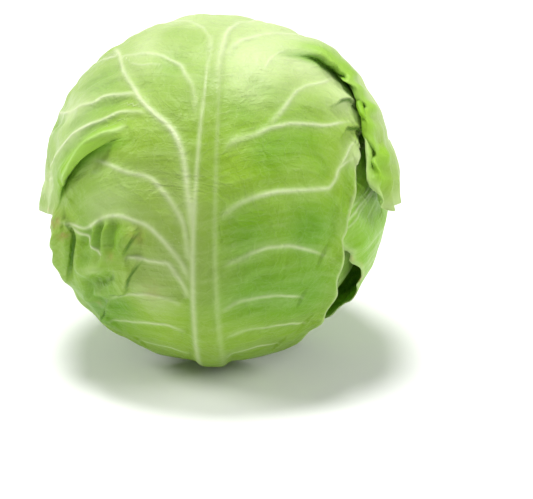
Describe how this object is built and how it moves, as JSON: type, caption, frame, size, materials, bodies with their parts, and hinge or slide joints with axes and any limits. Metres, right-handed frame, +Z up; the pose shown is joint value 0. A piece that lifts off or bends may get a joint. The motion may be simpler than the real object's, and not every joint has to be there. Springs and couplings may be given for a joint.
{
  "type": "green cabbage",
  "caption": "Whole green cabbage head, trimmed and standing on its cut stem, with overlapping wrapper leaves folded round a tight heart.",
  "frame": {"origin": "middle of the stem's cut face, which the head stands on", "axes": "+Z up along the stem; -Y is the way the outermost leaf's midrib faces; +X to its right seen from the front"},
  "size_m": [0.1808, 0.1749, 0.1717],
  "materials": {
    "leaf": "satin",
    "heart": "satin",
    "stem": "matte"
  },
  "bodies": {
    "root": {"stem": "stem", "heart": "heart", "leaf_1": "leaf", "leaf_2": "leaf", "leaf_3": "leaf", "leaf_4": "leaf", "leaf_5": "leaf"}
  },
  "joints": []
}
